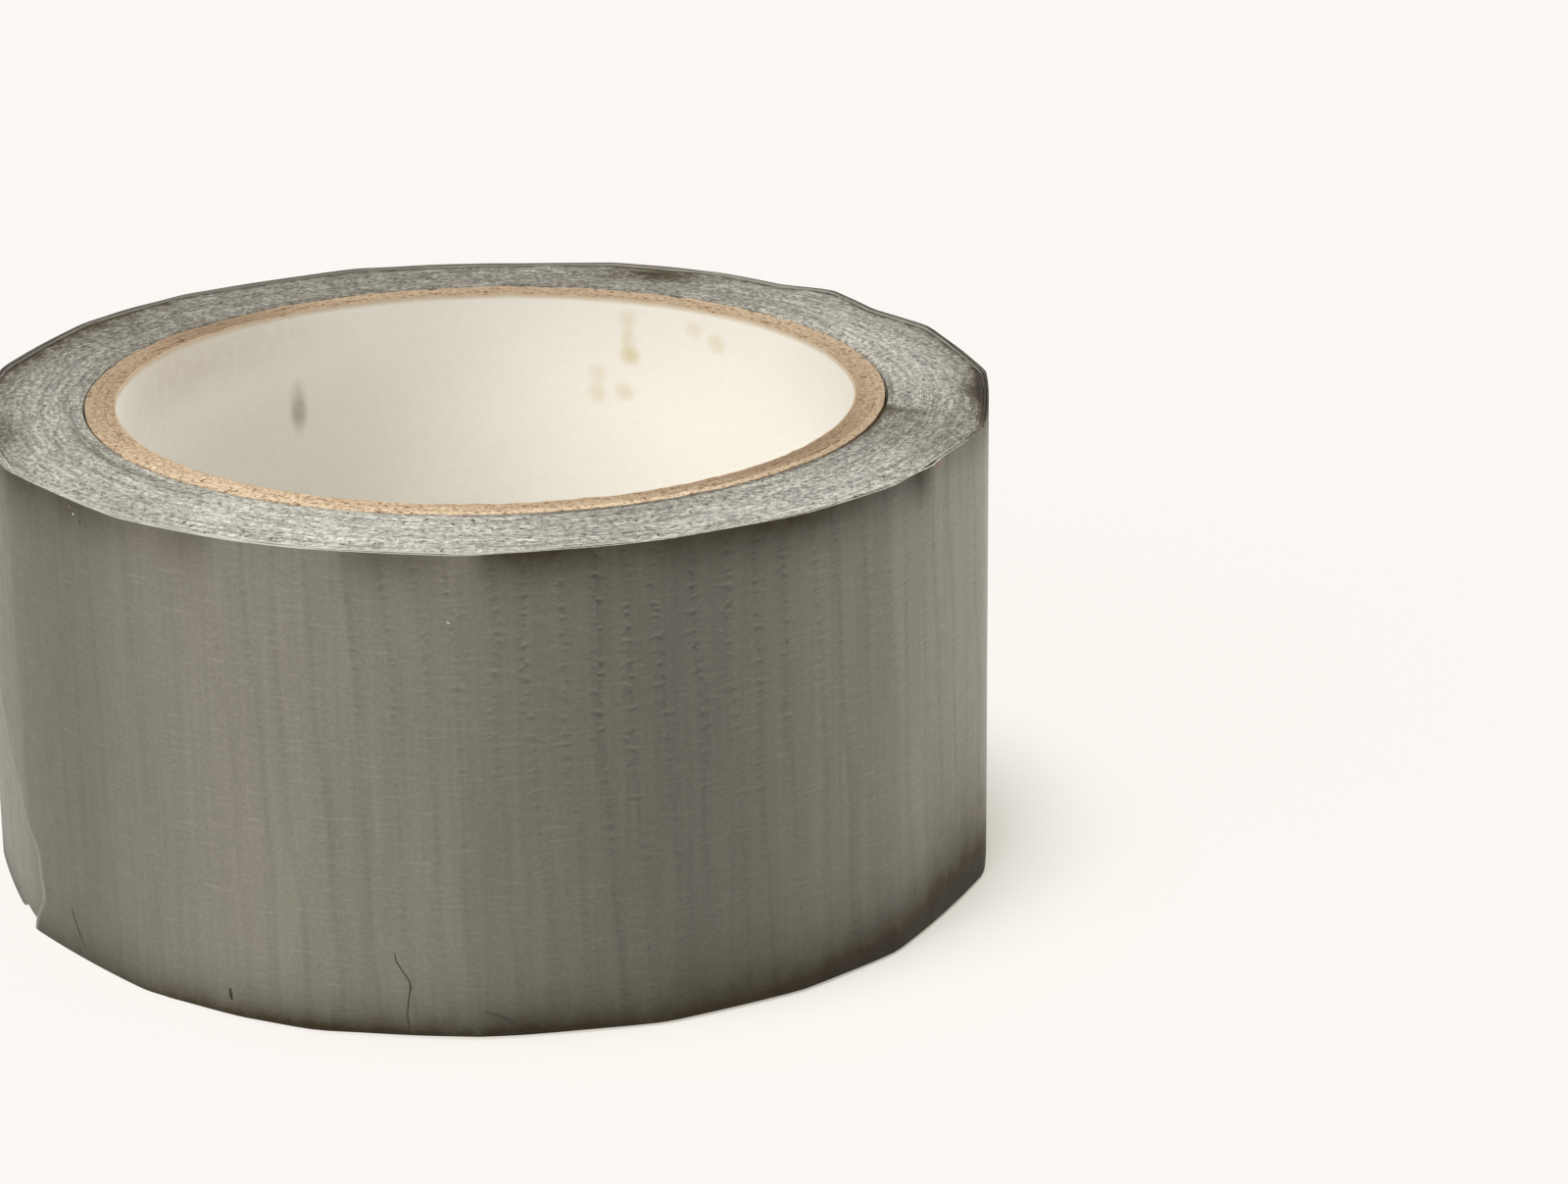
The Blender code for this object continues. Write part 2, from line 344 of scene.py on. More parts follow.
def weave(along, height, degrees):
    """Lift of the film over the yarns, nearness to a weft yarn, and how strongly the painted light and shade
    of its rungs show.
    """
    upright = along - yarn_slant(height)
    nearest = np.round(upright / WEFT_SPACING)
    zone = rung_zone(height, degrees)
    clear = between(FAINT_YARN, 1.0, smooth_step(turned_by(degrees, PEEL_DEGREES), *FAINT_YARN_DEGREES))
    lift = yarn = tick = 0.0
    for step in (-1.0, 0.0, 1.0):
        index = nearest + step
        sway = 0.0
        for size, length, seed in WEFT_SWAYS:
            sway = sway + size * np.sin(height / length + SWAY_PHASES * scatter(index, seed))
        near = bell(upright - weft_place(index) - sway, WEFT_WIDTH)
        strength = WEFT_LEAST + WEFT_VARIATION * np.abs(scatter(index, seed=4.0))
        drift = wander(height + OWN_DRIFT * index, RUNG_DRIFT_LENGTH, RUNG_DRIFT, seed=9.0)
        rung_place = height / RUNG_SPACING + scatter(index, seed=5.0) + drift
        rung_strength = 1.0 + 2.0 * scatter(np.floor(rung_place + 0.25) + OWN_RUNGS * index, seed=6.0)
        rung = np.cos(math.tau * rung_place) * rung_strength
        lift = lift + near * strength * zone * (WEFT_LIFT + RUNG_LIFT * rung)
        yarn = yarn + near * strength * clear
        tick = tick + near * (1.0 + strength) / 2.0 * zone
    return lift, yarn, tick


def wall_radius(turn, height):
    """Radius of the tape's outer face at a place along the winding and a height on the roll."""
    degrees = turn_degrees(turn)
    radius = outline(degrees, height / TAPE_WIDTH) - TURN_PITCH * (OUTER_TURNS - 0.5 - turn)
    return radius + crease(degrees, height)


def face_facts(turn, height):
    """Radius with the weave on it, and the place, yarn and tick values that the face's material reads."""
    along = turn * TURN_LENGTH * PER_MM
    lift, yarn, tick = weave(along, height * PER_MM, turn_degrees(turn))
    slack = wander(along, SLACK_LENGTH, SLACK, seed=8.0) * np.sin(between(*SLACK_PHASES, height / TAPE_WIDTH))
    radius = wall_radius(turn, height) + (lift + slack) * MM
    return radius, np.stack((along, height * PER_MM, 0.0 * along), -1), yarn, tick


# Dirt and painted shade: directions and half widths in degrees; heights, radii and reaches in millimetres

# Direction, strength and reach of the dark band at the base, strength under the rim. Both bands are partly
# dirt and partly painted shade of the curled-in edges, and at the base also of its contact with the floor
WALL_BANDS = (
    (10, 1.2, 4.5, 0.65), (90, 0.85, 2.8, 0.5), (160, 0.75, 2.4, 0.5), (205, 0.6, 2.2, 0.5),
    (216, 0.7, 2.2, 0.78), (221, 0.8, 2.3, 0.62), (226, 0.86, 2.3, 0.74), (230, 0.94, 2.3, 0.58),
    (237, 1.06, 2.3, 0.36), (242.5, 1.14, 2.3, 0.6), (246, 1.2, 2.3, 0.1), (256.5, 1.23, 2.3, 0.08),
    (262, 1.22, 2.3, 0.64), (267.5, 1.15, 2.5, 0.52), (271.5, 1.1, 2.6, 0.12), (274.5, 1.3, 3, 0.88),
    (280, 1.35, 3.2, 1.05), (286, 1.15, 3, 0.7), (292, 1.12, 3.7, 0.82), (300, 1.25, 4, 0.93),
    (308, 1.35, 4.2, 1.08), (315, 1.45, 4.4, 0.84), (322, 1.62, 4.8, 0.7), (328, 1.7, 5.6, 0.66),
    (331, 1.75, 6.2, 0.4), (345, 1.7, 6.8, 0.5),
)
# Direction and strength of the dulling of the upper and lower edges
EDGE_DIRT = (
    (0, 0.34), (10, 0.18), (40, 0.32), (55, 0.5), (70, 0.66), (82, 0.7), (96, 0.7), (110, 0.74),
    (124, 0.68), (140, 0.66), (150, 0.7), (172, 0.44), (190, 0.26), (212, 0.24), (230, 0.2), (240, 0),
    (266, 0), (278, 0.16), (290, 0.2), (304, 0), (318, 0.02), (330, 0.18), (338, 0.44), (350.5, 0.54),
    (353, 0.34),
)
BASE_BAND_FROM = 0.4
RIM_BAND_FROM = 48.1
RIM_BAND_REACH = 2.9
RIM_BAND_POWER = 1.4
# Waves of the bands' ragged edges: step, size and seed
BAND_WAVES = ((5.0, 0.12, 11.0), (1.3, 0.08, 12.0))
# Soft bands: direction, half width and strength. The first is painted light and shade: it makes the film
# paler where light and a grazing reflection fall on the wall, and darker where the wall is in shade
WALL_LIGHT_BANDS = (
    (254, 13, 0.18), (322, 14, 0.12), (344, 10, 0.38), (223, 8, -0.14), (294, 9, -0.22),
)
CORE_SHADE_BAND = ((316, 34, 0.47),)
INSIDE_BAND = ((308, 16, 0.28),)
RIM_SIDE_BANDS = ((170, 24, 0.46), (20, 22, 0.36))
RIM_END_BAND = ((2, 4.4, 1),)
# Spots: direction, half width, height or radius with its half size, and strength. The first is painted shade
# left of the crease, the second a dark patch at the right end of the rim, the rest dirt
CREASE_SHADE = (328, 1.5, 47.2, 1.8, 0.36)
CREASE_SHADE_END = (-1.2, 0.6)
RIGHT_RIM_PATCH = (3, 6, 48, 3, 1)
EDGE_SMEARS = (
    (210, 20, 42.3, 0.38, 0.44), (350.5, 1.5, 42, 2, 0.5), (70.5, 4, 49, 1.7, 0.65),
    (196, 4, 49.5, 2, 0.5), (342, 5, 44.5, 2, 0.14), (50, 5, 43.6, 1.1, 0.16),
    (283, 5, 41, 1.2, 0.16), (235, 7, 45, 1.8, 0.13),
)
CORE_SHADE_RADIUS = 40.7
CORE_SHADE_HALF = 0.5
CORE_SHADE_LEAST = 0.15
INSIDE_RADII = (43.0, 47.5)
FAR_RIM_DEGREES = (62.0, 90.0)
FAR_RIM_REACH = 0.6
RIM_SIDE_REACH = 2.8
RIM_END_REACH = 1.5
RIM_END_LINE = 0.9
FRONT_DEGREES = 270.0
MOST_WALL_GRIME_AND_SHADE = 1.4
MOST_EDGE_GRIME_AND_SHADE = 1.8
# Painted shade laid over the free end away from the peel line
FREE_END_SHADE = 0.20


def soft_bands(degrees, bands):
    return sum(strength * bell(turned_by(degrees, direction), half) for direction, half, strength in bands)


def soft_spot(degrees, place, spot):
    direction, half_degrees, middle, half_size, strength = spot
    return strength * bell(turned_by(degrees, direction), half_degrees) * bell(place - middle, half_size)


def around(degrees, table, column):
    """A value of a table of directions, in any direction."""
    rows = np.array(table, float)
    return np.interp(degrees, rows[:, 0], rows[:, column], period=360.0)


def painted_wall_light(degrees):
    """Painted light and shade: how much paler or darker than its mean the film is painted in a direction."""
    return 1.0 + soft_bands(degrees, WALL_LIGHT_BANDS)


def wall_grime_and_shade(degrees, height):
    """How much dirt and painted shade darken the wall: bands along both edges, painted shade beside the
    crease and a dark patch at the rim.
    """
    high = height * PER_MM
    ragged = 1.0 + sum(wander(degrees, *wave) for wave in BAND_WAVES)
    above = np.clip(high - BASE_BAND_FROM, 0.0, None)
    base = around(degrees, WALL_BANDS, 1) * np.exp(-above / (around(degrees, WALL_BANDS, 2) * ragged))
    under = np.clip(RIM_BAND_FROM - high, 0.0, None)
    rim = around(degrees, WALL_BANDS, 3) * np.exp(-((under / (RIM_BAND_REACH * ragged)) ** RIM_BAND_POWER))
    # Painted shade left of the crease, and a dark patch at the right end of the rim
    before_crease = 1.0 - smooth_step(turned_by(degrees, CREASE_DEGREES), *CREASE_SHADE_END)
    dark_spots = soft_spot(degrees, high, CREASE_SHADE) * before_crease + soft_spot(degrees, high, RIGHT_RIM_PATCH)
    return np.clip(base + rim + dark_spots, 0.0, MOST_WALL_GRIME_AND_SHADE)


def edge_place(degrees, radius):
    """Where a point of the edges is, without a seam: its direction as a point on the rim, and its radius."""
    rim = polar(OUTER_RADIUS, degrees, 0.0)
    return PER_MM * np.stack((rim[..., 0], rim[..., 1], radius), -1)


def edge_grime_and_shade(degrees, radius):
    """How much dirt and painted shade darken the wound edges: painted shade in the joint by the core,
    darkening by the core at the front right, along the far rim and at its right end, and dirt in smears.
    """
    wide = radius * PER_MM
    inset = (outline(degrees, 1.0) - radius) * PER_MM
    from_front = np.abs(turned_by(degrees, FRONT_DEGREES))
    # Painted shade in the joint between core and tape, deepest at the right, away from the light
    core_shade = CORE_SHADE_LEAST + soft_bands(degrees, CORE_SHADE_BAND)
    core_shade = core_shade * bell(wide - CORE_SHADE_RADIUS, CORE_SHADE_HALF)
    inside = soft_bands(degrees, INSIDE_BAND) * (1.0 - smooth_step(wide, *INSIDE_RADII))
    line = bell(inset, FAR_RIM_REACH)
    far_rim = line * smooth_step(from_front, *FAR_RIM_DEGREES)
    sides = soft_bands(degrees, RIM_SIDE_BANDS) * bell(inset, RIM_SIDE_REACH)
    rim_end = soft_bands(degrees, RIM_END_BAND) * (bell(inset, RIM_END_REACH) + RIM_END_LINE * line)
    dark_spots = sum(soft_spot(degrees, wide, spot) for spot in EDGE_SMEARS)
    dull = around(degrees, EDGE_DIRT, 1)
    return np.clip(core_shade + inside + far_rim + sides + rim_end + dark_spots + dull, 0.0, MOST_EDGE_GRIME_AND_SHADE)


# Marks on the lining paper: direction, level, half width and half height in millimetres, strength
GLUE_MARKS = (
    (69.6, 46, 0.8, 0.8, 0.45), (69.6, 43.8, 0.7, 1.1, 0.5), (69.3, 41.9, 0.9, 0.8, 0.85),
    (75.2, 39.5, 0.8, 0.8, 0.45), (75.3, 37.3, 0.8, 0.9, 0.5), (70.4, 37.7, 0.9, 0.8, 0.5),
    (57, 45.9, 0.9, 0.7, 0.4), (52.4, 44.8, 0.9, 0.8, 0.55), (310, 30, 1.2, 1.5, 0.4),
    (200, 20, 1, 1.6, 0.35),
)
GLUE_TONE = (0.72, 0.64, 0.42)
SOOT_MARKS = ((127.8, 37.6, 0.75, 2, 0.45), (127.7, 36.9, 0.65, 1.1, 0.4), (256, 14, 0.9, 1.2, 0.3))
SOOT_TONE = (0.30, 0.26, 0.18)
# Painted shade: broad tan marks high on the left of the bore
LINER_SHADE_MARKS = ((166, 45.5, 9, 4, 0.2), (164, 42, 15, 11, 0.13), (146, 46.5, 11, 3.2, 0.3))
LINER_SHADE_TONE = (0.48, 0.41, 0.31)
MARK_EDGE = (0.3, 2.0)


# Materials

TONE_RANGE = (0.3, 0.7)


class Paint:
    """Node tree of a material or a world, with the colour that its calls build up layer by layer."""

    def __init__(self, name, kind="materials"):
        self.owner = getattr(bpy.data, kind).new(name)
        self.owner.use_nodes = True
        self.tree = self.owner.node_tree
        self.shader = self.tree.nodes.get("Principled BSDF")
        self.colour = None

    def feed(self, socket, value):
        if isinstance(value, bpy.types.NodeSocket):
            self.tree.links.new(value, socket)
        else:
            socket.default_value = value

    def node(self, kind, *values, **settings):
        """A new node with its settings, and with values or links for its first inputs."""
        made = self.tree.nodes.new(kind)
        for setting, value in settings.items():
            setattr(made, setting, value)
        for socket, value in zip(made.inputs, values):
            self.feed(socket, value)
        return made

    def fact(self, name):
        output = "Vector" if name.endswith("place") else "Fac"
        return self.node("ShaderNodeAttribute", attribute_name=name).outputs[output]

    def spot(self):
        return self.node("ShaderNodeNewGeometry").outputs["Position"]

    def vector(self, operation, first, second=(0.0, 0.0, 0.0), output="Vector"):
        return self.node("ShaderNodeVectorMath", first, second, operation=operation).outputs[output]

    def noise(self, vector, scale, detail=2.0, roughness=0.5):
        made = self.node("ShaderNodeTexNoise", self.vector("MULTIPLY", vector, scale))
        for socket, value in (("Scale", 1.0), ("Detail", detail), ("Roughness", roughness)):
            made.inputs[socket].default_value = value
        return made.outputs["Fac"]

    def range(self, value, low, high, to_low=0.0, to_high=1.0):
        values = (value, low, high, to_low, to_high)
        return self.node("ShaderNodeMapRange", *values, interpolation_type="SMOOTHSTEP").outputs[0]

    def math(self, operation, first, second):
        return self.node("ShaderNodeMath", first, second, operation=operation).outputs[0]

    def times(self, first, second):
        return self.math("MULTIPLY", first, second)

    def mix(self, factor, first, second):
        made = self.node("ShaderNodeMix", factor, data_type="RGBA")
        for socket, colour in zip(made.inputs[6:8], (first, second)):
            self.feed(socket, colour if isinstance(colour, bpy.types.NodeSocket) else (*colour, 1.0))
        return made.outputs[2]

    def begin(self, value, dark, light):
        """Start with a colour between two tones that follows a value."""
        self.colour = self.mix(self.range(value, *TONE_RANGE), dark, light)

    def shade(self, factor):
        """Make the colour lighter or darker by a factor."""
        made = self.node("ShaderNodeVectorMath", self.colour, operation="SCALE")
        self.feed(made.inputs["Scale"], factor)
        self.colour = made.outputs[0]

    def vary(self, value, low, high, at_low, at_high):
        """Shade the colour by factors that follow a value."""
        self.shade(self.range(value, low, high, at_low, at_high))

    def cover(self, factor, tone):
        self.colour = self.mix(factor, self.colour, tone)

    def stain(self, tone, value, start, full, most):
        """Cover the colour with a tone, more and more as a value goes from start to full."""
        self.cover(self.range(value, start, full, 0.0, most), tone)

    def mark(self, spot, direction, level, half_width, half_height):
        """A soft mark on the bore: 1 at its middle, in a direction and at a level, and 0 away from it."""
        away = self.vector("SUBTRACT", spot, tuple(polar(BORE_RADIUS, direction, level * MM)))
        sizes = (PER_MM / half_width, PER_MM / half_width, PER_MM / half_height)
        reach = self.vector("LENGTH", self.vector("MULTIPLY", away, sizes), output="Value")
        return self.range(reach, *MARK_EDGE, 1.0, 0.0)

    def choose_by_ray(self, unseen, seen, output):
        """Join a shader that only lights other things to one that the camera sees, also by way of gloss."""
        path = self.node("ShaderNodeLightPath")
        by_eye = path.outputs["Is Camera Ray"]
        for kind in ("Is Glossy Ray", "Is Transmission Ray"):
            by_eye = self.math("MAXIMUM", by_eye, path.outputs[kind])
        choice = self.node("ShaderNodeMixShader", by_eye, unseen.outputs[0], seen.outputs[0])
        self.feed(self.tree.nodes[output].inputs["Surface"], choice.outputs[0])

    def finish(self, roughness, height=None, distance=0.0, specular=0.5):
        self.feed(self.shader.inputs["Base Color"], self.colour)
        self.feed(self.shader.inputs["Roughness"], roughness)
        self.shader.inputs["Specular IOR Level"].default_value = specular
        if height is not None:
            bump = self.node("ShaderNodeBump")
            bump.inputs["Strength"].default_value = 1.0
            bump.inputs["Distance"].default_value = distance
            self.feed(bump.inputs["Height"], height)
            self.feed(self.shader.inputs["Normal"], bump.outputs[0])
        return self.owner


FILM_COOL = (0.258, 0.250, 0.206)
FILM_WARM = (0.274, 0.254, 0.215)
FILM_DIRT_AND_SHADE = (0.041, 0.029, 0.013)
FILM_BLACK = (0.012, 0.009, 0.005)
TORN_FIBRES = (0.45, 0.43, 0.375)
RUNG_NOISE = ((0.55, 1.5, 1.0), 2.0, 0.6)
# The painted shade of a rung lies this far under its painted light
RUNG_SHADE = (0.0, 0.34, 0.0)


def tape_face_material():
    """Satin grey film over cloth: warm and cool patches, fine lines both ways with painted shade along the
    yarns and painted light and shade on the rungs, painted light and shade round the wall, and dirt with
    painted shade at the edges.
    """
    paint = Paint("tape_film")
    place = paint.fact("place")
    # Painted light and shade round the wall, which also leans the patches warm where it paints light
    tone = paint.fact("tone")
    patches = paint.range(paint.noise(place, (0.06, 0.025, 1.0), 3.0), 0.35, 0.65)
    patches = paint.times(patches, paint.range(tone, 0.85, 1.05))
    paint.colour = paint.mix(patches, FILM_COOL, FILM_WARM)
    paint.shade(tone)
    upright = paint.noise(place, (1.1, 0.04, 1.0), 3.0, 0.6)
    paint.vary(upright, 0.25, 0.75, 0.935, 1.065)
    threads = paint.noise(place, (0.25, 3.2, 1.0), 2.0)
    paint.vary(threads, 0.54, 0.76, 0.98, 1.16)
    grain = paint.noise(place, (2.3, 2.6, 1.0), 4.0, 0.75)
    paint.vary(grain, 0.25, 0.75, 0.88, 1.12)
    # Painted shade: the film is painted darker along the ridges that the weft yarns raise
    paint.vary(paint.fact("yarn"), 0.0, 1.6, 1.025, 0.90)
    # Painted light and shade of the warp rungs: a paler knot with a darker dash just under it, as light from
    # above falls on a bump
    tick = paint.fact("tick")
    rungs = paint.noise(place, *RUNG_NOISE)
    painted_rung_light = paint.times(tick, paint.range(rungs, 0.52, 0.62, 0.0, 0.36))
    paint.shade(paint.math("ADD", 1.0, painted_rung_light))
    rungs_above = paint.noise(paint.vector("ADD", place, RUNG_SHADE), *RUNG_NOISE)
    painted_rung_shade = paint.times(tick, paint.range(rungs_above, 0.53, 0.61, 0.0, 0.44))
    paint.shade(paint.math("SUBTRACT", 1.0, painted_rung_shade))
    smudge = paint.noise(place, (0.5, 0.35, 1.0), 4.0, 0.65)
    # Dirt and painted shade along the edges and beside the crease, with painted shade over the free end
    grime_and_shade = paint.times(paint.fact("grime_and_shade"), paint.range(smudge, 0.2, 0.7, 0.82, 1.0))
    paint.cover(grime_and_shade, FILM_DIRT_AND_SHADE)
    paint.stain(FILM_BLACK, grime_and_shade, 0.9, 1.4, 0.7)
    frayed = paint.times(paint.fact("torn"), paint.range(grain, 0.3, 0.6, 0.5, 1.0))
    paint.cover(frayed, TORN_FIBRES)
    roughness = paint.range(paint.noise(place, (0.4, 0.4, 1.0), 3.0), 0.3, 0.7, 0.44, 0.54)
    roughness = paint.math("ADD", roughness, paint.range(grime_and_shade, 0.0, 1.0, 0.0, 0.3))
    return paint.finish(roughness, grain, 0.006 * MM, 0.33)


EDGE_DARK = (0.49, 0.488, 0.447)
EDGE_LIGHT = (0.595, 0.585, 0.525)
EDGE_FLECKS = (0.88, 0.86, 0.79)
EDGE_PITS = (0.06, 0.044, 0.036)
EDGE_DOTS = (0.050, 0.034, 0.032)
EDGE_FRAY_AND_HIGHLIGHT = (0.74, 0.72, 0.64)
EDGE_SOIL_AND_SHADE = (0.064, 0.049, 0.028)
EDGE_BLACK = (0.016, 0.012, 0.006)


def tape_edge_material():
    """Cut edges of the wound tape: streaks along the turns, light and dark specks, pale fray with a painted
    highlight along the front, dirt and painted shade.
    """
    paint = Paint("tape_edges")
    place = paint.fact("edge_place")
    spot = paint.spot()
    bands = paint.noise(place, (0.02, 0.02, 0.9), 3.0, 0.6)
    paint.begin(bands, EDGE_DARK, EDGE_LIGHT)
    long_streaks = paint.noise(place, (0.12, 0.12, 2.0), 3.0, 0.65)
    paint.vary(long_streaks, 0.3, 0.7, 0.70, 1.28)
    dashes = paint.noise(place, (1.2, 1.2, 2.5), 3.0, 0.7)
    paint.vary(dashes, 0.32, 0.68, 0.54, 1.40)
    specks = paint.noise(spot, (2200.0,) * 3, 3.0, 0.65)
    paint.stain(EDGE_FLECKS, specks, 0.58, 0.68, 0.7)
    paint.stain(EDGE_PITS, specks, 0.41, 0.34, 0.95)
    dots = paint.noise(spot, (1100.0,) * 3, 1.0)
    paint.stain(EDGE_DOTS, dots, 0.28, 0.23, 0.9)
    # Pale fray, with a painted highlight along the front rim
    paint.cover(paint.fact("fray_and_highlight"), EDGE_FRAY_AND_HIGHLIGHT)
    smudge = paint.noise(spot, (420.0,) * 3, 4.0, 0.65)
    # Dirt, and painted shade in the joint by the core
    grime_and_shade = paint.times(paint.fact("edge_grime_and_shade"), paint.range(smudge, 0.25, 0.65, 0.65, 1.0))
    grime_and_shade = paint.times(grime_and_shade, paint.range(dashes, 0.35, 0.65, 1.15, 0.85))
    paint.cover(grime_and_shade, EDGE_SOIL_AND_SHADE)
    paint.stain(EDGE_BLACK, grime_and_shade, 0.9, 1.5, 0.85)
    return paint.finish(0.66, specks, 0.03 * MM, 0.2)


ADHESIVE_DARK = (0.44, 0.43, 0.38)
ADHESIVE_LIGHT = (0.53, 0.51, 0.45)


def adhesive_material():
    """Sticky side: pale grey-beige rubber with the cloth's grid pressed through."""
    paint = Paint("tape_adhesive")
    place = paint.fact("place")
    mottle = paint.noise(place, (0.25, 0.25, 1.0), 4.0, 0.6)
    paint.begin(mottle, ADHESIVE_DARK, ADHESIVE_LIGHT)
    paint.vary(paint.noise(place, (0.3, 2.4, 1.0), 2.0), 0.45, 0.7, 1.0, 1.12)
    paint.vary(paint.fact("yarn"), 0.0, 1.2, 0.97, 1.15)
    grain = paint.noise(place, (3.0, 3.0, 1.0), 3.0)
    return paint.finish(paint.range(mottle, 0.3, 0.7, 0.3, 0.5), grain, 0.01 * MM)


BOARD_FLECKS = (0.25, 0.14, 0.075)
BOARD_FIBRES = (0.93, 0.80, 0.61)
BOARD_PITS = (0.20, 0.11, 0.055)
BOARD_SOIL_AND_SHADE = (0.21, 0.14, 0.085)


def board_material(name, light, dark):
    """Kraft board: fibres round the tube, brown specks and paler fibres, with dirt and painted shade."""
    paint = Paint(name)
    place = paint.fact("place")
    spot = paint.spot()
    mottle = paint.noise(place, (0.18, 0.5, 1.0), 4.0, 0.65)
    paint.begin(mottle, dark, light)
    fibres = paint.noise(place, (0.8, 6.0, 1.0), 3.0, 0.6)
    paint.vary(fibres, 0.25, 0.75, 0.76, 1.31)
    grain = paint.noise(spot, (2300.0,) * 3, 4.0, 0.7)
    paint.stain(BOARD_FLECKS, grain, 0.48, 0.36, 0.9)
    paint.stain(BOARD_FIBRES, grain, 0.52, 0.64, 0.9)
    pits = paint.noise(spot, (1300.0,) * 3, 3.0, 0.55)
    paint.stain(BOARD_PITS, pits, 0.41, 0.34, 0.85)
    # Dirt and painted shade on the cut edges, most at the back and on the inner plies at the right
    paint.cover(paint.fact("soil_and_shade"), BOARD_SOIL_AND_SHADE)
    return paint.finish(0.85, grain, 0.03 * MM, 0.25)


LINER_DARK = (0.932, 0.900, 0.838)
LINER_LIGHT = (0.952, 0.925, 0.868)
LINER_CUT = (0.60, 0.47, 0.32)


def liner_material():
    """White lining paper with faint fibres, yellow glue marks and a dark smudge, and broad painted shade high
    on the bore's left wall.
    """
    paint = Paint("core_liner_paper")
    place = paint.fact("place")
    spot = paint.spot()
    mottle = paint.noise(place, (0.05, 0.07, 1.0), 4.0, 0.6)
    paint.begin(mottle, LINER_DARK, LINER_LIGHT)
    fibres = paint.noise(place, (1.5, 1.1, 1.0), 4.0, 0.6)
    paint.vary(fibres, 0.25, 0.75, 0.985, 1.015)
    smudge = paint.noise(place, (0.9, 0.5, 1.0), 3.0)
    # The glue and soot marks are stains; the last marks are painted shade on the left of the bore
    for marks, tone in ((GLUE_MARKS, GLUE_TONE), (SOOT_MARKS, SOOT_TONE), (LINER_SHADE_MARKS, LINER_SHADE_TONE)):
        for *shape, strength in marks:
            blot = paint.range(smudge, 0.25, 0.6, 0.7 * strength, strength)
            paint.cover(paint.times(paint.mark(spot, *shape), blot), tone)
    paint.cover(paint.fact("cut"), LINER_CUT)
    return paint.finish(0.72, fibres, 0.01 * MM, 0.35)


def plain_material(name, light, dark, roughness):
    """Small loose things such as hairs: one tone that varies a little along them."""
    paint = Paint(name)
    tone = paint.noise(paint.spot(), (900.0,) * 3, 2.0)
    paint.begin(tone, dark, light)
    return paint.finish(roughness)


# Paper core

# Dirt and painted shade on the plies' cut edges, in soft bands: direction, half width in degrees and strength
PLY_SOIL_AND_SHADE_BANDS = ((45, 18, -0.12), (140, 9, 0.3), (165, 20, 0.12))
INNER_PLY_SHADE_BAND = ((306, 28, 0.5),)
INNER_PLY_SHADE_SHARE = 0.7
UNDARKENED_DEGREES = 262.0
BACK_SOIL_AND_SHADE = 0.48
BACK_SOIL_AND_SHADE_DEGREES = (25.0, 75.0)
# Waves of the plies' cut ends: step in degrees, size and added seed
CUT_WAVES = ((0.9, 0.05 * MM, 0.0), (4.0, 0.06 * MM, 1.0))
NICK_STEP = 1.3
NICK_FROM = 0.72
NICK_DEPTH = 0.5 * MM
BURR_STEP = 0.6
BURR_SIZE = 0.04 * MM
# Light and dark tone of each ply
BOARD_TONES = (
    ((0.70, 0.53, 0.36), (0.61, 0.45, 0.29)),
    ((0.76, 0.59, 0.405), (0.67, 0.505, 0.335)),
    ((0.79, 0.62, 0.43), (0.71, 0.54, 0.365)),
)


def ply_soil_and_shade(degrees, inwards):
    """How much dirt and painted shade darken a ply's cut edge: more at the back, and at the right the more it
    is an inner ply.
    """
    back = BACK_SOIL_AND_SHADE * smooth_step(np.abs(turned_by(degrees, UNDARKENED_DEGREES)), *BACK_SOIL_AND_SHADE_DEGREES)
    right = smooth_step(inwards, 0.0, INNER_PLY_SHADE_SHARE) * soft_bands(degrees, INNER_PLY_SHADE_BAND)
    return back + soft_bands(degrees, PLY_SOIL_AND_SHADE_BANDS) + right


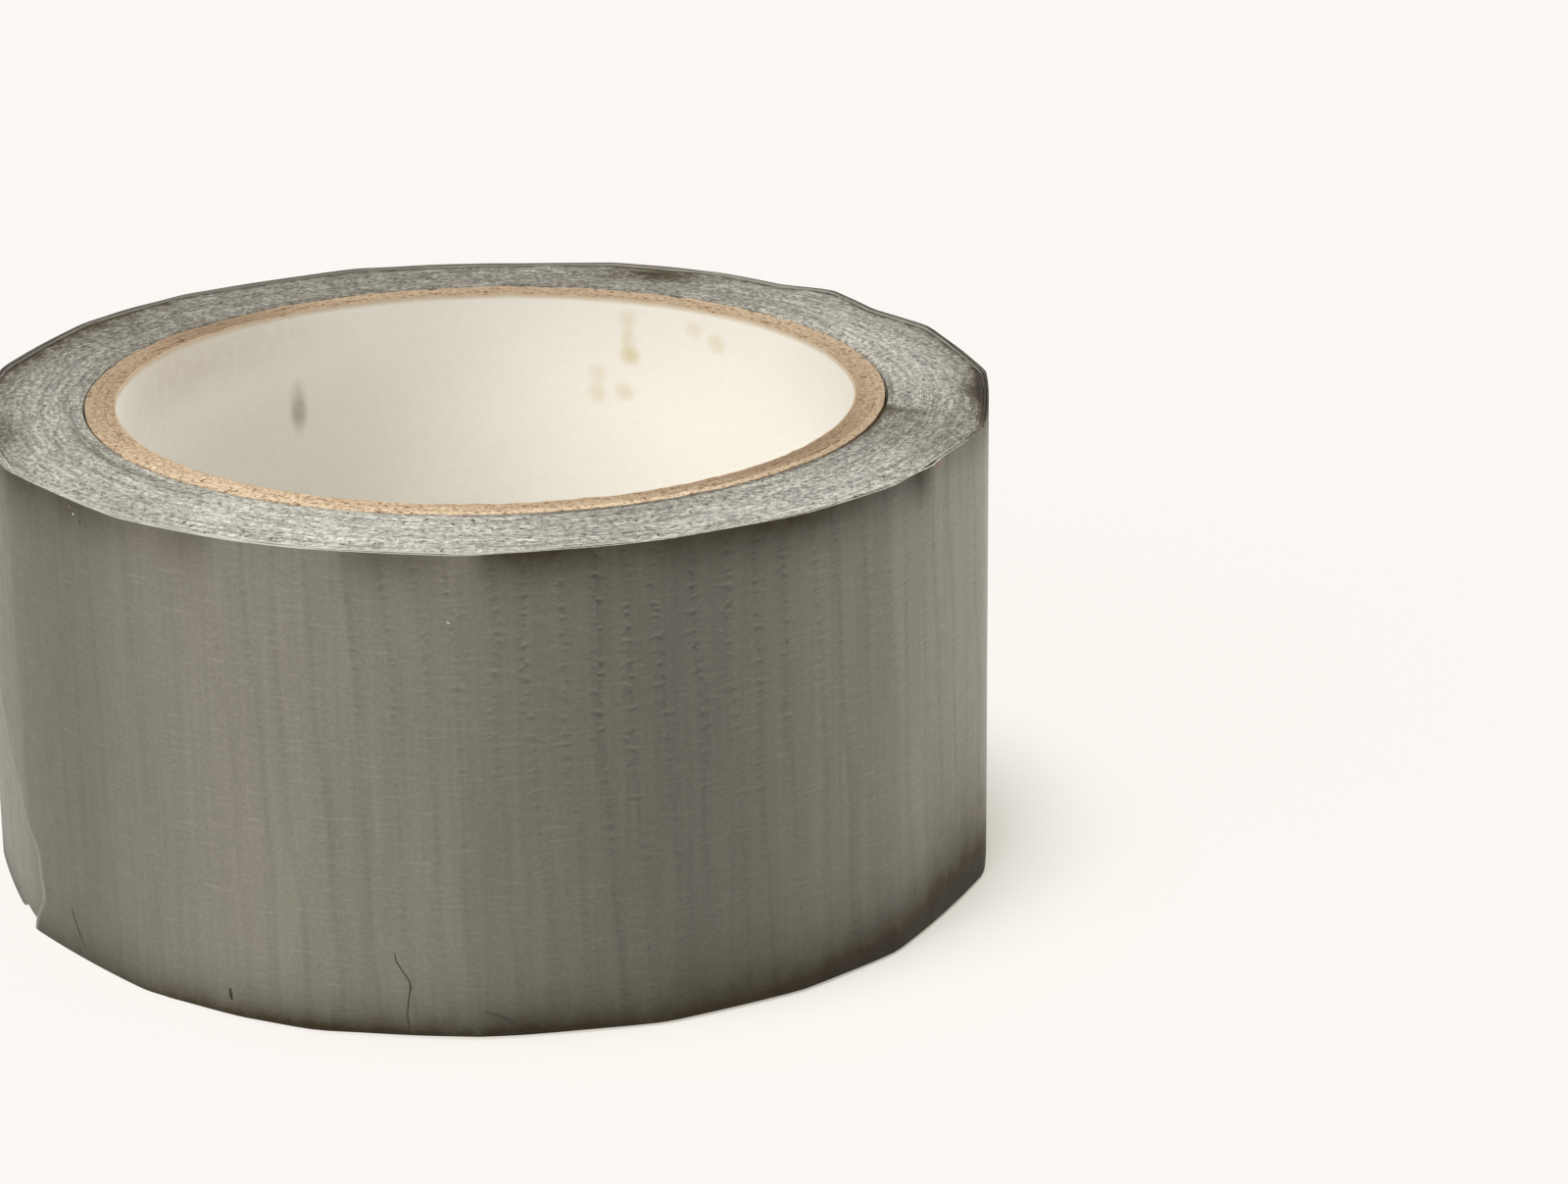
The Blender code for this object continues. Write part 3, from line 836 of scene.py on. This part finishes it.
def make_ply(name, node, inner, outer, seam_degrees, rows, material, seed):
    """One spiral-wound ply: a tube slit along its helical butt seam, with roughly cut ends."""
    middle = (inner + outer) / 2.0
    slant = math.acos(PLY_STRIP_WIDTH / (math.tau * middle))
    climb_degrees = math.degrees(math.tan(slant) / middle)
    half_gap = math.degrees(SEAM_GAP / math.cos(slant) / middle) / 4.0
    turn = half_gap + (360.0 - 2.0 * half_gap) * np.linspace(0.0, 1.0, CORE_SIDES + 1)
    levels = np.linspace(CORE_BOTTOM, CORE_TOP, rows)
    ring = 2 * rows
    heights = np.concatenate((levels, levels[::-1]))
    radii = np.repeat((inner, outer), rows)
    degrees = seam_degrees + turn[:, None] + climb_degrees * (heights - CORE_BOTTOM)[None, :]
    direction = degrees % 360.0
    rough = sum(wander(direction, step, size, seed + own) for step, size, own in CUT_WAVES)
    nick = np.clip(wander(direction, NICK_STEP, 1.0, seed + 2.0) - NICK_FROM, 0.0, 1.0) * NICK_DEPTH
    burr = np.abs(wander(direction, BURR_STEP, BURR_SIZE, seed + 3.0))
    at_top = heights >= CORE_TOP
    at_bottom = heights <= CORE_BOTTOM
    inside = radii < middle
    height = heights + np.where(at_top, rough - nick, 0.0) - np.where(at_bottom, np.abs(rough), 0.0)
    radius = radii - np.where(at_top & inside, burr, 0.0)
    faces = grid_quads(CORE_SIDES + 1, ring, round_rows=True).tolist()
    for first in (0, CORE_SIDES * ring):
        for row in range(rows - 1):
            faces.append([first + row, first + row + 1, first + ring - 2 - row, first + ring - 1 - row])
    along = np.radians(degrees) * BORE_RADIUS * PER_MM
    across = np.where(at_top, radius, height) * PER_MM
    facts = {"place": np.stack((along, across, 0.0 * along), -1)}
    if name == "core_lining":
        facts["cut"] = np.broadcast_to(np.where(at_top | at_bottom, 1.0, 0.0), degrees.shape)
    else:
        # Dirt and painted shade on the ply's cut edge
        facts["soil_and_shade"] = ply_soil_and_shade(degrees, 1.0 - PLY_NAMES.index(node) / 2.0)
    piece = add_piece(name, polar(radius, degrees, height), faces, [material], None, facts)
    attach(piece, "roll")
    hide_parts(node)
    return piece


def make_core():
    inner = BORE_RADIUS + LINER_PAPER
    lining = make_ply(
        "core_lining", "core_liner", BORE_RADIUS, inner,
        LINER_SEAM_DEGREES, LINER_ROWS, liner_material(), seed=21.0,
    )
    step = (CORE_OUTER_RADIUS - inner) / len(PLY_NAMES)
    for index, (node, (light, dark)) in enumerate(zip(PLY_NAMES, BOARD_TONES)):
        seam = LINER_SEAM_DEGREES + SEAM_STAGGER_DEGREES * (index + 1)
        board = board_material(node + "_board", light, dark)
        ply = make_ply(
            node + "_wound", node, inner + index * step + GLUE_CRACK, inner + (index + 1) * step,
            seam, PLY_ROWS, board, seed=31.0 + 7.0 * index,
        )


# Wound tape

# Jumps from turn to turn: step in turns, size and seed
PACK_JUMPS = ((0.37, 0.05 * MM, 41.0), (2.3, 0.05 * MM, 42.0))
RIDGE_ACROSS = (0.0, 0.22, 0.82)
RIDGE_HEIGHT = 0.05 * MM
RIDGE_VARIATION = 0.02 * MM
PACK_TOP_DROP = 0.05 * MM
PACK_BASE_LIFT = 0.07 * MM
RIM_WAVE_STEP = 6.0
BASE_WAVE = 0.05 * MM
RIM_WAVE = 0.06 * MM
FRAY_LEAST = 0.04
# Painted highlight along the front rim
FRAY_HIGHLIGHT_BAND = ((250, 26, 0.6),)


def pack_height(turn):
    """How far a turn of the pack stands up: slow bands, and small jumps from turn to turn."""
    bands = np.array(PACK_STEPS, float) * EDGE_STEP
    centres = (np.arange(len(bands)) + 0.5) * PACK_TURNS / len(bands)
    slow = np.interp(turn, centres, bands)
    return slow + sum(np.abs(wander(turn, *jump)) for jump in PACK_JUMPS)


def pack_sheet():
    """Places of the pack's edge face: turn count and how far across its own turn each point is."""
    rows = PACK_TURNS * PACK_STATIONS + 1
    turn = np.repeat(np.arange(rows) / PACK_STATIONS, 3)
    across = np.tile(RIDGE_ACROSS, rows)
    last = (np.arange(1, PACK_STATIONS + 1) + rows - 1) / PACK_STATIONS
    return np.concatenate((turn, last)), np.concatenate((across, np.zeros(PACK_STATIONS)))


def pack_faces():
    """Quads of the spiral sheet: across each turn, then over to the groove of the next turn."""
    rows = PACK_TURNS * PACK_STATIONS + 1
    row = np.arange(rows - 1)
    groove = np.concatenate((np.arange(rows) * 3, rows * 3 + np.arange(PACK_STATIONS)))
    quads = [np.stack((row * 3 + c, row * 3 + 3 + c, row * 3 + 4 + c, row * 3 + 1 + c), -1) for c in (0, 1)]
    beyond = row + PACK_STATIONS
    quads.append(np.stack((row * 3 + 2, row * 3 + 5, groove[beyond + 1], groove[beyond]), -1))
    return np.concatenate(quads)


def closed_from_sheets(quads, count):
    """Faces of a solid between a sheet and its copy, whose points follow the sheet's in order."""
    edges = np.concatenate([quads[:, [a, (a + 1) % 4]] for a in range(4)])
    first, times = np.unique(np.sort(edges, 1), axis=0, return_index=True, return_counts=True)[1:]
    rim = edges[first[times == 1]]
    walls = np.stack((rim[:, 1], rim[:, 0], rim[:, 0] + count, rim[:, 1] + count), -1)
    return np.concatenate((quads, quads[:, ::-1] + count, walls)), len(walls)


def base_dent(degrees, radius):
    """The knocked-up lower edge beside the torn end, under the free end."""
    away = np.abs(turned_by(degrees, DENT_DEGREES))
    near = 1.0 - smooth_step(away, DENT_FADE_DEGREES / 2.0, DENT_FADE_DEGREES)
    return DENT_LIFT * near * smooth_step(radius, *DENT_RADII)


def make_wound_tape(edge):
    """The tight pack: one spiral of edges above and below, every turn a ridge of its own."""
    turn, across = pack_sheet()
    degrees = turn_degrees(turn - PACK_TURNS)
    stand = pack_height(turn)
    uneven = RIDGE_VARIATION * scatter(np.round(turn * PACK_STATIONS), seed=43.0)
    ridge = (across > 0.0) * (RIDGE_HEIGHT + uneven)
    sheets = []
    places = []
    grime_and_shade = []
    for share in (1.0, 0.0):
        outside = outline(degrees, share) - PACK_OUTER_LOSS
        radius = PACK_INNER_RADIUS + (outside - PACK_INNER_RADIUS) * (turn + across) / (PACK_TURNS + 1.0)
        top = TAPE_WIDTH - PACK_TOP_DROP + stand + ridge
        base = PACK_BASE_LIFT + stand - ridge + base_dent(degrees, radius)
        sheets.append(polar(radius, degrees, np.where(share > 0.5, top, base)))
        places.append(edge_place(degrees, radius))
        grime_and_shade.append(edge_grime_and_shade(degrees, radius))
    faces = closed_from_sheets(pack_faces(), len(turn))[0]
    facts = {"edge_place": np.concatenate(places), "edge_grime_and_shade": np.concatenate(grime_and_shade)}
    piece = add_piece("wound_edges", np.concatenate(sheets), faces.tolist(), [edge], None, facts)
    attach(piece, "roll")
    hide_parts("wound_tape")


def corner_turns(first, last):
    """Places along the winding just before, at and just after each corner of the outline."""
    degrees = CORNER_DEGREES[:, None] + np.array((-1.0, 0.0, 1.0))
    places = ((PACK_TURN_DEGREES - degrees.ravel()) % 360.0) / 360.0
    places = np.concatenate([places + whole for whole in range(math.ceil(last) + 1)])
    return np.sort(places[(places > first) & (places < last)])


def wrap_turns():
    """Places of the outer strip's columns: coarse where it is covered, and by the yarns where it shows."""
    end = OUTER_TURNS * TURN_MM
    marks = np.concatenate(([0.0], corner_turns(0.0, SHOWN_FROM), [SHOWN_FROM])) * TURN_MM
    covered = []
    for start, span in zip(marks, np.diff(marks)):
        steps = math.ceil(span / COVERED_SPACING)
        covered.extend(start + span * np.arange(steps) / steps)
    first = math.ceil(marks[-1] / WEFT_SPACING)
    last = math.floor(end / WEFT_SPACING)
    yarns = weft_place(np.arange(first, last + 1, dtype=float))
    shown = (yarns[:, None] + np.array(WEFT_COLUMNS)[None, :]).ravel()
    shown = np.sort(shown[(shown > marks[-1] + COLUMN_CLEARANCE) & (shown < end - COLUMN_CLEARANCE)])
    return np.concatenate((covered, shown, [end])) / TURN_MM


def leaning(turn, height):
    """The columns' places at each height: those that show lean with the yarns, the ends stay upright."""
    from_start = (turn - SHOWN_FROM) * TURN_MM
    to_end = (OUTER_TURNS - turn) * TURN_MM
    share = smooth_step(from_start, 0.0, LEAN_FADE) * smooth_step(to_end, 0.0, LEAN_FADE)
    return turn[:, None] + share[:, None] * yarn_slant(height * PER_MM) / TURN_MM


def front_fray_and_highlight(degrees):
    """How pale the strip's rim is: frayed fibres all round, and a painted highlight on them along the front.
    """
    return FRAY_LEAST + soft_bands(degrees, FRAY_HIGHLIGHT_BAND)


def strip_facts(turn, radius, height):
    """What the strip's materials read at each of its points."""
    degrees = turn_degrees(turn)
    place, yarn, tick = face_facts(turn, height)[1:]
    return {
        "place": place,
        "yarn": yarn,
        # Where the painted light and shade of the rungs show
        "tick": tick,
        # Painted light and shade round the wall
        "tone": painted_wall_light(degrees),
        # Dirt and painted shade along the edges and beside the crease
        "grime_and_shade": wall_grime_and_shade(degrees, height),
        "edge_place": edge_place(degrees, radius),
        # Dirt, and painted shade in the joint by the core
        "edge_grime_and_shade": edge_grime_and_shade(degrees, radius),
        # Pale fray, with a painted highlight along the front
        "fray_and_highlight": front_fray_and_highlight(degrees),
    }


def strip_ring(face, at_rim, behind, at_foot):
    """A value round the strip: up its face, over the rim, down its back and round the foot."""
    parts = (face, face[:, -1:] + at_rim, face[:, ::-INNER_ROW_STEP] + behind, face[:, :1] + at_foot)
    return np.concatenate(parts, 1)


def make_outer_wrap(face, edge, adhesive):
    """The last turns: one unbroken strip, from the step in the pack to the peel line."""
    turn = wrap_turns()
    degrees = turn_degrees(turn)
    low = OUTER_SHIFT + wander(degrees, RIM_WAVE_STEP, BASE_WAVE, seed=51.0)
    low = low + base_dent(degrees, np.full_like(degrees, OUTER_RADIUS)) * (turn < DENTED_UP_TO)
    high = OUTER_SHIFT + TAPE_WIDTH + wander(degrees, RIM_WAVE_STEP, RIM_WAVE, seed=52.0) - RIM_WAVE
    shares = np.linspace(0.0, 1.0, WALL_ROWS)
    height = low[:, None] + (high - low)[:, None] * shares[None, :]
    face_turn = leaning(turn, height)
    radius = face_facts(face_turn, height)[0]
    half = 0.5 * TAPE_THICKNESS
    ring_radius = strip_ring(radius, -half, -TAPE_THICKNESS, -half)
    ring_height = strip_ring(height, EDGE_ROUND, 0.0, -EDGE_ROUND)
    ring_turn = strip_ring(face_turn, 0.0, 0.0, 0.0)
    ring = ring_radius.shape[1]
    faces = grid_quads(len(turn), ring, round_rows=True).tolist() + end_faces(len(turn), ring)
    column_kinds = [0] * (WALL_ROWS - 1) + [1, 1] + [2] * (ring - WALL_ROWS - 3) + [1, 1]
    kinds = column_kinds * (len(turn) - 1) + [1, 1]
    facts = strip_facts(ring_turn, ring_radius, ring_height)
    points = polar(ring_radius, turn_degrees(ring_turn), ring_height)
    piece = add_piece("outer_wrap", points, faces, [face, edge, adhesive], kinds, facts)
    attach(piece, "roll")
    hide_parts("outer_turns")


def torn_length(share):
    """Length of the free end at a share of the tape's width: slanted, waved and finely toothed."""
    slant = between(FREE_LENGTH_LOW, FREE_LENGTH_HIGH, share)
    wave = TEAR_WAVE * np.sin(math.tau * share / TEAR_WAVE_SHARE)
    tooth = TEAR_TOOTH * np.sin(math.tau * TEAR_TEETH * share + TEAR_UNEVENNESS * share * share)
    return slant - wave + tooth


def make_free_end(face, edge, adhesive):
    """The torn free end, from the peel line to the tear."""
    shares = np.linspace(0.0, 1.0, FREE_END_ROWS)
    length = torn_length(shares)
    whole = length.min() - TORN_STRIP
    along_share = np.linspace(0.0, 1.0, FREE_END_COLUMNS)
    before, beyond = FREE_END_SPLIT, 1.0 - FREE_END_SPLIT
    whole_part = np.clip(along_share / before, 0.0, 1.0)[:, None] * whole
    torn_part = np.clip((along_share - before) / beyond, 0.0, 1.0)[:, None] * (length - whole)[None, :]
    turn = OUTER_TURNS + (whole_part + torn_part) / TURN_LENGTH
    height = OUTER_SHIFT + TAPE_WIDTH * np.broadcast_to(shares[None, :], turn.shape)
    radius = face_facts(turn, height)[0]
    degrees = turn_degrees(turn)
    outer = polar(radius, degrees, height).reshape(-1, 3)
    inner = polar(radius - TAPE_THICKNESS, degrees, height).reshape(-1, 3)
    quads = grid_quads(FREE_END_COLUMNS, FREE_END_ROWS)
    faces, walls = closed_from_sheets(quads, len(outer))
    kinds = [0] * len(quads) + [2] * len(quads) + [1] * walls
    reach = (turn - OUTER_TURNS) * TURN_LENGTH
    # Painted shade: away from the peel line the free end is painted darker
    free_end_shade = FREE_END_SHADE * smooth_step(reach, 0.0, FREE_END_SHADE_SHARE * FREE_LENGTH_LOW)
    facts = strip_facts(turn, radius, height)
    facts["grime_and_shade"] = between(facts["grime_and_shade"], 1.0, free_end_shade)
    facts["torn"] = TORN_STRENGTH * bell((length[None, :] - reach) * PER_MM, TORN_PALE)
    facts = {fact: np.stack((values, values)) for fact, values in facts.items()}
    points = np.concatenate((outer, inner))
    piece = add_piece("free_end", points, faces.tolist(), [face, edge, adhesive], kinds, facts)
    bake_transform(piece)
    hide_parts("tape_end")


# Hairs and lint on the wall

HAIR_LIFT = 0.03 * MM
HAIR_TIP = 0.35
HAIR_TAPER = (0.1, 0.95)
# Light tone, dark tone and roughness of each kind
HAIR_KINDS = {
    "dark_hair": ((0.05, 0.042, 0.03), (0.03, 0.026, 0.02), 0.5),
    "brown_thread": ((0.42, 0.24, 0.13), (0.30, 0.16, 0.08), 0.7),
    "white_lint": ((0.82, 0.80, 0.74), (0.70, 0.68, 0.62), 0.7),
}
# Name, body, kind and thickness, and the direction and height of each bend, in degrees and millimetres
HAIRS = (
    ("hair_bent", "roll", "dark_hair", 0.11, (
        (263.2, 8.7), (263.3, 7.9), (263.9, 7), (264.6, 6),
        (264.75, 5.3), (264.5, 4), (264.3, 2.4), (264.5, 1),
    )),
    ("hair_slanted", "roll", "dark_hair", 0.12, (
        (272.4, 2.95), (273.6, 2.6), (274.9, 2), (276.1, 1.2), (277.1, 0.5),
    )),
    ("hair_left", "free_end", "dark_hair", 0.09, ((219.5, 5.1), (220.2, 3.9), (220.9, 2.7), (222, 1.5))),
    ("lint_tick", "roll", "dark_hair", 0.3, ((244.55, 3.1), (244.6, 2.5), (244.75, 1.9))),
    ("lint_speck", "roll", "white_lint", 0.16, ((269.7, 41.9), (269.85, 41.7), (270.05, 41.75))),
    ("thread_rim", "roll", "brown_thread", 0.16, ((331.2, 47.8), (332, 48.05), (332.9, 48.2))),
    ("lint_rim_red", "free_end", "brown_thread", 0.15, ((224.3, 47.7), (224.6, 47.5))),
    ("lint_rim_white", "free_end", "white_lint", 0.12, ((225, 47.1), (225.2, 46.9))),
    ("lint_rim_dark", "free_end", "dark_hair", 0.13, ((226.1, 46.6), (226.4, 46.3))),
)


def unit(vectors):
    return vectors / np.linalg.norm(vectors, axis=1, keepdims=True)


def make_hair(name, body, bends, thickness, material):
    """A hair that lies on the wall through a few bends, as a thin tapered tube."""
    bends = np.array(bends, float)
    steps = np.linspace(0.0, len(bends) - 1.0, HAIR_STEPS * len(bends))
    degrees, height = (np.interp(steps, np.arange(len(bends)), column) for column in bends.T)
    height = height * MM
    turn = (PACK_TURN_DEGREES - degrees) / 360.0
    shown_from = OUTER_TURNS if body == "free_end" else OUTER_TURNS - 1.0
    turn = turn - np.floor(turn - shown_from)
    line = polar(wall_radius(turn, height) + HAIR_LIFT, degrees, height)
    along = unit(np.gradient(line, axis=0))
    outward = polar(np.ones_like(degrees), degrees, 0.0)
    side = unit(np.cross(along, outward))
    taper = thickness * between(HAIR_TIP, 1.0, np.sin(np.pi * np.linspace(*HAIR_TAPER, len(line))))
    spin = np.linspace(0.0, math.tau, HAIR_SIDES, endpoint=False)
    rim = np.cos(spin)[None, :, None] * side[:, None, :] + np.sin(spin)[None, :, None] * outward[:, None, :]
    points = line[:, None, :] + 0.5 * taper[:, None, None] * rim
    faces = grid_quads(len(line), HAIR_SIDES, round_rows=True).tolist() + end_faces(len(line), HAIR_SIDES)
    piece = add_piece(name, points, faces, [material])
    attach(piece, body)


def make_hairs():
    materials = {kind: plain_material(kind, *look) for kind, look in HAIR_KINDS.items()}
    for name, body, kind, thickness, bends in HAIRS:
        make_hair(name, body, bends, thickness * MM, materials[kind])


# Stage

def floor_material():
    """Pale floor: part of its brightness is its own, so that the shadow on it stays faint, most so far out.

    What it sends back to the object is toned down, except inside the bore, which white paper lights up.
    """
    paint = Paint("pale_floor")
    spot = paint.spot()
    from_shade = paint.vector("DISTANCE", spot, FLOOR_SHADE_CENTRE, "Value")
    outwards = paint.range(from_shade, FLOOR_NEAR_REACH, FLOOR_FAR_REACH)
    shares = (FLOOR_NEAR_SHARES, FLOOR_FAR_SHARES)
    lit = [[share * level for share, level in zip(row, BACKGROUND)] for row in shares]
    own = [[level - part for level, part in zip(BACKGROUND, row)] for row in lit]
    paint.colour = paint.mix(outwards, *lit)
    paint.finish(FLOOR_ROUGHNESS, specular=0.0)
    paint.feed(paint.shader.inputs["Emission Color"], paint.mix(outwards, *own))
    paint.shader.inputs["Emission Strength"].default_value = 1.0
    in_bore = paint.math("LESS_THAN", paint.vector("LENGTH", spot, output="Value"), BORE_RADIUS)
    bounce = paint.node("ShaderNodeBsdfDiffuse", paint.mix(in_bore, FLOOR_BOUNCE, BORE_FLOOR_BOUNCE))
    paint.choose_by_ray(bounce, paint.shader, "Material Output")
    return paint.owner


def make_floor():
    mesh = bpy.data.meshes.new("floor")
    corners = [(x * FLOOR_HALF, y * FLOOR_HALF, 0.0) for x, y in ((-1, -1), (1, -1), (1, 1), (-1, 1))]
    mesh.from_pydata(corners, [], [(0, 1, 2, 3)])
    mesh.materials.append(floor_material())
    floor = put("floor", mesh)


def make_world():
    """Pale backdrop that the camera, and glossy and clear surfaces, see. It lights nothing else."""
    paint = Paint("studio", "worlds")
    bpy.context.scene.world = paint.owner
    unlit = paint.tree.nodes["Background"]
    unlit.inputs["Strength"].default_value = 0.0
    backdrop = paint.node("ShaderNodeBackground", (*BACKGROUND, 1.0))
    paint.choose_by_ray(unlit, backdrop, "World Output")


def make_lamps():
    for name, azimuth, elevation, strength, spread in LAMPS:
        lamp = bpy.data.lights.new(name, "SUN")
        lamp.energy = strength
        lamp.angle = math.radians(spread)
        lamp.color = LAMP_COLOUR
        holder = put(name, lamp)
        holder.rotation_euler = (math.radians(90.0 - elevation), 0.0, math.radians(azimuth))


def make_camera():
    camera = bpy.data.cameras.new("camera")
    camera.sensor_width = CAMERA_SENSOR
    camera.lens = CAMERA_LENS
    camera.clip_start = CAMERA_NEAR
    holder = put("camera", camera)
    holder.location = CAMERA_PLACE
    holder.rotation_euler = (math.pi / 2.0 - CAMERA_PITCH, 0.0, 0.0)
    bpy.context.scene.camera = holder


def main():
    bpy.context.scene.view_settings.view_transform = "Standard"
    make_camera()
    make_world()
    make_lamps()
    make_floor()
    face = tape_face_material()
    edge = tape_edge_material()
    adhesive = adhesive_material()
    make_core()
    make_wound_tape(edge)
    make_outer_wrap(face, edge, adhesive)
    make_free_end(face, edge, adhesive)
    make_hairs()


main()
